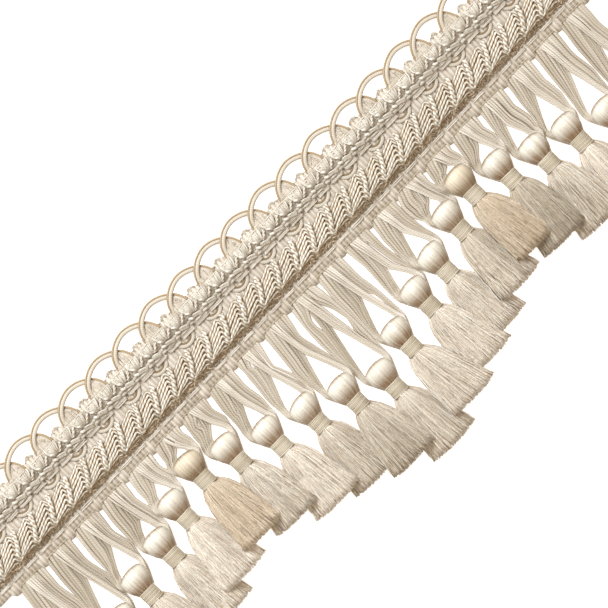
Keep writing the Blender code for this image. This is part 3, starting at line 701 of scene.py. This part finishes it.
def hanging_cords(skein, place, head_x, head_y, outer, window, tone):
    """Four bundles of four cords from the tape down to the head's flanks."""
    middle = place * TASSEL_PITCH
    hang = CORDS_START - head_y
    near_head = hang - 1.6
    parting, parting_x, *openings = window
    upper = min(14.0, 0.42 * hang)
    lower = max(min(25.0, 0.72 * hang), upper + 4.0)
    depths = (0.0, 1.6, upper * 0.55, upper, parting, lower, (lower + near_head) / 2, near_head)
    for side, crosses, level, bundle_shade_tone in BUNDLES:
        high_edge, low_edge = outer[:2] if side < 0 else outer[2:]
        opening = openings[0] if side < 0 else openings[1]
        slit = SLITS.get((place, side))
        sway = chance.uniform(-0.2, 0.2)
        for cord in range(BUNDLE_CORDS):
            off = cord - (BUNDLE_CORDS - 1) / 2 + chance.uniform(-0.12, 0.12)
            stagger = 0.15 if cord % 2 else 0.0
            loose = chance.uniform(0.2, 0.45) if chance.random() < 0.08 else chance.uniform(-0.1, 0.1)
            knots = []
            for depth in sorted(depths + (slit[:2] if slit else ())):
                inner_edge = np.interp(depth, (0, parting, hang - 2.4), (
                    middle + GROUP_SHIFT - side * 3.7, middle + parting_x, head_x + side * opening))
                outer_edge = np.interp(depth, (0, upper, lower, near_head), (
                    middle + GROUP_SHIFT + side * 6.9, middle + side * high_edge, middle + side * low_edge,
                    head_x + side * 8.8))
                # The inner bundle lies along the inner edge, and the outer one takes the rest of the room.
                wide = (outer_edge - inner_edge) * side
                inner_spread = np.clip((0.45 * wide - 2 * CORD_RADIUS) / 3, 0.6, 1.15)
                spread = inner_spread
                x = inner_edge + side * (1.5 * spread + CORD_RADIUS)
                if not crosses:
                    room = wide - 3 * inner_spread - 2 * CORD_RADIUS
                    least = np.interp(depth, (parting, near_head), (0.84, 0.55))
                    if slit and slit[0] < depth < slit[1]:
                        open_share = math.sin(math.pi * (depth - slit[0]) / (slit[1] - slit[0]))
                        room -= slit[2] * open_share
                        least *= 1 - 0.4 * open_share
                    spread = np.clip((room - 2 * CORD_RADIUS + 0.5) / 3, least, 1.8)
                    x = outer_edge - side * (1.5 * spread + CORD_RADIUS)
                sunk = np.interp(depth, (0.0, 1.6, 5.0), (0.0, 0.0, 1.0))
                free = math.sin(math.pi * min(1.0, depth / near_head))
                knots.append((x + off * spread + free * (sway + side * loose), CORDS_START - depth,
                              0.6 + (level + stagger - 0.6) * sunk, np.clip(0.6 * spread, 0.52, 1.06)))
            for y, flank, z in INNER_BEND if crosses else OUTER_BEND:
                knots.append((head_x + side * flank + off * 0.45, head_y + y, z + stagger * 0.6, 0.52))
            path = smooth_path(knots, 0.85)
            skein.lay(path[:, :3], path[:, 3], 0.44, sides=5, twist_mm=TWIST, rim=0.65,
                      tone=bundle_shade_tone + tone + chance.uniform(-0.25, 0.25))


def folded_head(name, head_x, head_y, tilt):
    """A squat barrel of folded yarn: straight on top, gathered into folds under the neck's thread."""
    bpy.ops.mesh.primitive_circle_add(vertices=HEAD_FILAMENTS, radius=2.6 * MM, fill_type="TRIFAN")
    head = bpy.context.object
    head.name = name
    for ring in range(1, len(HEAD_DOWN)):
        bpy.ops.object.mode_set(mode="EDIT")
        if ring == 1:
            bpy.ops.mesh.select_all(action="DESELECT")
            bpy.ops.mesh.select_mode(type="EDGE")
            bpy.ops.mesh.select_non_manifold()
        bpy.ops.mesh.extrude_region_move(TRANSFORM_OT_translate={"value": (0, 0, -MM)})
        bpy.ops.object.mode_set(mode="OBJECT")
    bpy.ops.object.mode_set(mode="EDIT")
    bpy.ops.mesh.fill()
    bpy.ops.mesh.select_all(action="SELECT")
    bpy.ops.mesh.normals_make_consistent(inside=False)
    bpy.ops.object.mode_set(mode="OBJECT")
    mesh = head.data
    spots = np.empty(len(mesh.vertices) * 3)
    mesh.vertices.foreach_get("co", spots)
    spots = spots.reshape(-1, 3) / MM
    row = np.rint(-spots[:, 2]).astype(int)
    down = HEAD_DOWN[row]
    turn = np.arctan2(spots[:, 1], spots[:, 0])
    column = np.rint(turn * HEAD_FILAMENTS / (2 * math.pi)).astype(int) % HEAD_FILAMENTS
    middle = np.hypot(spots[:, 0], spots[:, 1]) < 0.1
    waves = sum(chance.uniform(0.4, 1.0) * np.cos(n * turn + chance.uniform(0, 6.3)) for n in (19, 29, 37))
    waves /= np.abs(waves).max()
    fold = np.clip(down / HEAD_LENGTH, 0, 1) ** 1.6
    reach = np.where(middle, 0.0, 1 + (0.002 + 0.008 * fold) * waves)
    x = HEAD_HALF[row] * np.cos(turn) * reach
    z = HEAD_THICK[row] * np.sin(turn) * reach
    y = -down + 1.5 * (1 - (x / 6.6) ** 2) * np.clip(1 - down / 6, 0, 1)
    lean = math.radians(tilt) * np.clip(1 - down / 9, 0, 1)
    spots = np.column_stack([head_x + x - lean * y * 0.5, head_y + y + lean * x, AXIS + z])
    mesh.vertices.foreach_set("co", (spots * MM).ravel())
    filament = chance.uniform(-1, 1, HEAD_FILAMENTS)[column]
    # Painted shade: the head darkens from a little below its top down to the neck. It is also darker in a
    # thin line along its top edge, and its filaments vary at random.
    shaded = np.clip((down - 1.4) / 7.4, 0, 1)
    crest_shade = (0.95 + (0.1 + 0.06 * fold) * filament + 0.05 * waves * fold
             - 0.8 * shaded * shaded * (3 - 2 * shaded) - 0.75 * np.clip((0.8 - down) / 0.8, 0, 1))
    strand = mesh.attributes.new("strand", "FLOAT_VECTOR", "POINT")
    strand.data.foreach_set("vector", np.column_stack([crest_shade, 0.5 + 0.08 * filament, -y]).ravel())
    mesh.update()
    return head


def wound_neck(neck, head_x, head_y):
    """Nine wraps of thread round the neck, each a ring that slopes a little."""
    step = (NECK_END - HEAD_LENGTH) / NECK_WRAPS
    for wrap in range(NECK_WRAPS):
        y = head_y - HEAD_LENGTH - step * (wrap + 0.5) + 0.15
        turn = np.linspace(0, 2 * math.pi, 28, endpoint=False)
        half = NECK_RADIUS + chance.uniform(-0.05, 0.05)
        slope = chance.uniform(-0.1, 0.1)
        ring = np.column_stack([
            head_x + half * np.cos(turn), y + slope * np.cos(turn), AXIS + half * np.sin(turn)])
        out = np.column_stack([np.cos(turn), 0 * turn, np.sin(turn)])
        neck.lay(ring, 0.44, 0.26, sides=5, upright=out, closed=True, tone=chance.uniform(0.25, 0.85),
                 rim=0.5)


def skirt_shape(down, across, lean, half, left_over, right_over):
    """Where the skirt's top and under face are, at a distance down and a share across from -1 to 1.
    It is lifted at a side that lies over its neighbour and pressed flat at one that lies under."""
    share = np.clip((down - NECK_END) / (HEM - NECK_END), 0, 1)
    width = np.interp(down, (NECK_END, 17.6, 19.0, 21.5, 25.0, 32.0, 40.0, HEM),
                      (4.2, 5.8, 6.9, 7.9, 9.0, 10.4, 11.7, 13.0)) * (1 + (half / 13.0 - 1) * share)
    x = lean * share ** 1.1 + across * width
    edge = np.clip((np.abs(across) - 0.15) / 0.7, 0, 1)
    grown = np.clip(share * 2.5, 0, 1)
    over = np.where(across < 0, left_over, right_over)
    rise = OVER_RISE * np.clip(over, 0, 1) * edge * grown
    sink = 1 - UNDER_SINK * np.clip(-over, 0, 1) * edge * grown
    top = np.interp(down, (NECK_END, 19, 23, 30, 40, HEM), (9.3, 9.9, 9.9, 9.1, 7.6, 6.4))
    foot = np.interp(down, (NECK_END, 19, 23, 30, 40, HEM), (1.6, 1.2, 0.7, 0.4, 0.3, 0.3))
    crown = 1 - np.abs(across) ** 2.4
    z_top = foot + rise + (1.4 + (top - foot - 1.4) * crown * (1 - 0.25 * rise / OVER_RISE)) * sink
    z_foot = foot + rise * 0.9 + np.where(share < 0.25, (1 - crown) * 3.0 * (1 - share * 4), 0.0)
    return x, z_top, np.minimum(z_foot, z_top - 0.6)


def cut_skirt(skirt, head_x, head_y, lean, half, left_over, right_over, tone, dim):
    """Cut yarns from the neck to the hem, in a top, a middle and an under layer, round a plain core.
    A few yarns of the top layer stray over the rest, lifted to catch the light and painted their palest
    as a highlight. The middle layer is painted darker as shade under the top one, and the yarns darken
    towards the hem by dim, as painted shade."""
    shape = (lean, half, left_over, right_over)
    for layer, number, sink, rings in SKIRT_LAYERS:
        for i in range(number):
            across = (i + 0.5) / number * 2 - 1
            across = np.clip(across + chance.uniform(-0.015, 0.015), -1, 1)
            stray = layer == "top" and chance.random() < STRAY_SHARE
            length = HEM + chance.uniform(-0.6, 0.4) - 1.0 * abs(across) ** 3
            down = np.concatenate([[NECK_END - 0.8], np.linspace(NECK_END + 0.8, length, rings)])
            share = np.clip((down - NECK_END) / (HEM - NECK_END), 0, 1)
            x, z_top, z_foot = skirt_shape(down, np.full_like(down, across), *shape)
            lift = 0.3 if stray else 0.0
            z = z_foot + 0.35 if layer == "under" else z_top - 0.35 - sink * (0.5 + share) + lift
            z = z + chance.uniform(-0.3, 0.3, len(down)) * share ** 0.5 + 0.14 * chance.standard_normal()
            z = z + np.interp(down, (NECK_END, NECK_END + 3), (0.35, 0))
            sway = chance.uniform(-0.6, 0.6) * share ** 2
            crinkle = 0.24 * share ** 0.5 * chance.standard_normal(len(down))
            wide = chance.uniform(0.2, 0.34) + (0.06 if stray else 0.0)
            strand_tone = 1.0 if stray else chance.uniform(0.3, 0.95) - (0.25 if layer == "middle" else 0)
            yarn = np.column_stack([head_x + (x + sway + crinkle), head_y - down, np.maximum(z, wide)])
            skirt.lay(yarn, wide * np.linspace(0.75, 1.05, len(down)), sides=3, phase=chance.uniform(0, 2),
                      rim=0.35, tone=tone + strand_tone - dim * share ** 1.5)
    rows = (NECK_END - 0.5, 18, 20, 23, 27, 33, 40, HEM - 0.9)
    around = np.linspace(-1, 1, 13) * 0.97
    rings = []
    for down in rows:
        x, z_top, z_foot = skirt_shape(np.full_like(around, down), around, *shape)
        over = np.column_stack([head_x + x, np.full_like(x, head_y - down), z_top - 0.6])
        below = np.column_stack([over[:, 0], over[:, 1], np.minimum(z_foot + 0.3, z_top - 0.8)])[::-1]
        rings.append(np.vstack([over, below]))
    marks = np.broadcast_to((0.5, tone + 0.4, 0.0), (len(rows) * len(rings[0]), 3))
    skirt.add(np.vstack(rings[::-1]), marks, len(rows), len(rings[0]))


# Bright viscose, a satin yarn: lustrous where it lies in one sheet, as on the head, and softer in the
# cut skirt, where it has crinkled. The neck's thread is duller and greyer, and the tan yarns are the
# same yarns dyed darker. The cords' twist is drawn a little coarser than the real one, to show.
cord_yarn = yarn_finish(
    "two_ply_viscose_cord", "#d4cec2", "#9c7548", 0.5, 0.08, fleck=0.22, fleck_mm=0.7,
    tick_mm=TWIST / 2, tick=0.24)
head_yarn = yarn_finish(
    "folded_satin_viscose", "#efede4", "#876742", 0.48, 0.1, fleck=0.2, fleck_mm=0.6, bump=0.2, gloss=0.4)
neck_thread = yarn_finish("dull_neck_thread", "#d6cebd", "#a78e6d", 0.6, 0.08, fleck=0.12)
skirt_yarn = yarn_finish(
    "cut_viscose_skirt_yarn", "#faf8ee", "#b28248", 0.5, 0.1, fleck=0.5, fleck_mm=0.6, bump=0.5)
tan_head_yarn = yarn_finish(
    "folded_tan_satin_viscose", "#e8deca", "#7b603d", 0.48, 0.1, fleck=0.2, fleck_mm=0.6, bump=0.2, gloss=0.4)
tan_skirt_yarn = yarn_finish(
    "cut_tan_viscose_skirt_yarn", "#efe4d0", "#a97b45", 0.5, 0.1, fleck=0.5, fleck_mm=0.6, bump=0.5)
ranks = {row[0]: row[-2] for row in TASSELS}
for place, shift, head_top, tilt, outer, window, lean, half, rank, paler in TASSELS:
    node = f"tassel_{place + 11:02d}"
    tan = place in TAN_TASSELS
    head_x = place * TASSEL_PITCH + shift
    head_y = -head_top
    cords = Skein()
    hanging_cords(cords, place, head_x, head_y, outer, window, chance.uniform(-0.06, 0.06))
    cords.make(f"{node}_cords", cord_yarn, [node])
    head = folded_head(f"{node}_head", head_x, head_y, tilt)
    finish_piece(head, tan_head_yarn if tan else head_yarn, [node])
    neck = Skein()
    wound_neck(neck, head_x, head_y)
    neck.make(f"{node}_neck", neck_thread, [node])
    skirt = Skein()
    left_over = np.sign(rank - ranks.get(place - 1, rank))
    right_over = np.sign(rank - ranks.get(place + 1, rank))
    # Painted shade: the hems of these tassels darken much more than the rest.
    dim = 0.4 if place in DIM_HEMS else 0.05
    cut_skirt(skirt, head_x, head_y, lean, half, left_over, right_over, paler, dim)
    skirt.make(f"{node}_skirt", tan_skirt_yarn if tan else skirt_yarn, [node])


# Studio: a white table that glows a little, so that it stays white round the trim, a cool soft light
# from the loops' side, as the photograph has, a weak one from the tassels' side, and a warm room.
TABLE_DROP = 0.0004
TABLE_GLOW = 0.75
KEY_ENERGY = 20.4
KEY_COLOUR = (0.91, 0.955, 1.0)
FILL_ENERGY = 1.5
ROOM_COLOUR = "#ffebd0"
ROOM_LIGHT = 0.51
bpy.ops.mesh.primitive_plane_add(size=3.0, location=(0, 0, -TABLE_DROP))
table = bpy.context.object
table.name = "white_table"
# Matt white acrylic with a light under it.
white = bpy.data.materials.new("white_acrylic_table")
white.use_nodes = True
white_shader = white.node_tree.nodes["Principled BSDF"]
white_shader.inputs["Base Color"].default_value = linear("#e8e8e8")
white_shader.inputs["Roughness"].default_value = 0.9
white_shader.inputs["Emission Color"].default_value = linear("#ffffff")
white_shader.inputs["Emission Strength"].default_value = TABLE_GLOW
table.data.materials.append(white)


def soft_light(place, size, energy, tip, turn):
    """A square soft light at a place, tipped about x and then turned about z, in degrees."""
    bpy.ops.object.light_add(type="AREA", location=place)
    light = bpy.context.object
    light.data.size = size
    light.data.energy = energy
    light.rotation_euler = (math.radians(tip), 0, math.radians(turn))
    return light


key = soft_light((-0.2, 0.85, 0.95), 0.8, KEY_ENERGY, -42, 13)
key.data.color = KEY_COLOUR
soft_light((0.3, -0.6, 1.0), 1.0, FILL_ENERGY, 30, 26)
world = bpy.data.worlds.new("soft_room")
world.use_nodes = True
world.node_tree.nodes["Background"].inputs["Color"].default_value = linear(ROOM_COLOUR)
world.node_tree.nodes["Background"].inputs["Strength"].default_value = ROOM_LIGHT
bpy.context.scene.world = world
bpy.context.scene.view_settings.view_transform = "Standard"

# The camera looks straight down on the trim, turned so that it rises to the right as in the photograph.
LENS = 150.0
SENSOR = 36.0
FRAME_WIDTH = 267.5
FOCUS_LEVEL = 4.0
FRAME_CENTRE = (-1.3, -21.1)
TRIM_RISE = 46.2
camera_data = bpy.data.cameras.new("photo_camera")
camera_data.lens = LENS
camera_data.sensor_width = SENSOR
camera = bpy.data.objects.new("photo_camera", camera_data)
camera_height = FRAME_WIDTH * LENS / SENSOR + FOCUS_LEVEL
camera.location = (FRAME_CENTRE[0] * MM, FRAME_CENTRE[1] * MM, camera_height * MM)
camera.rotation_euler = (0, 0, math.radians(-TRIM_RISE))
bpy.context.collection.objects.link(camera)
bpy.context.scene.camera = camera
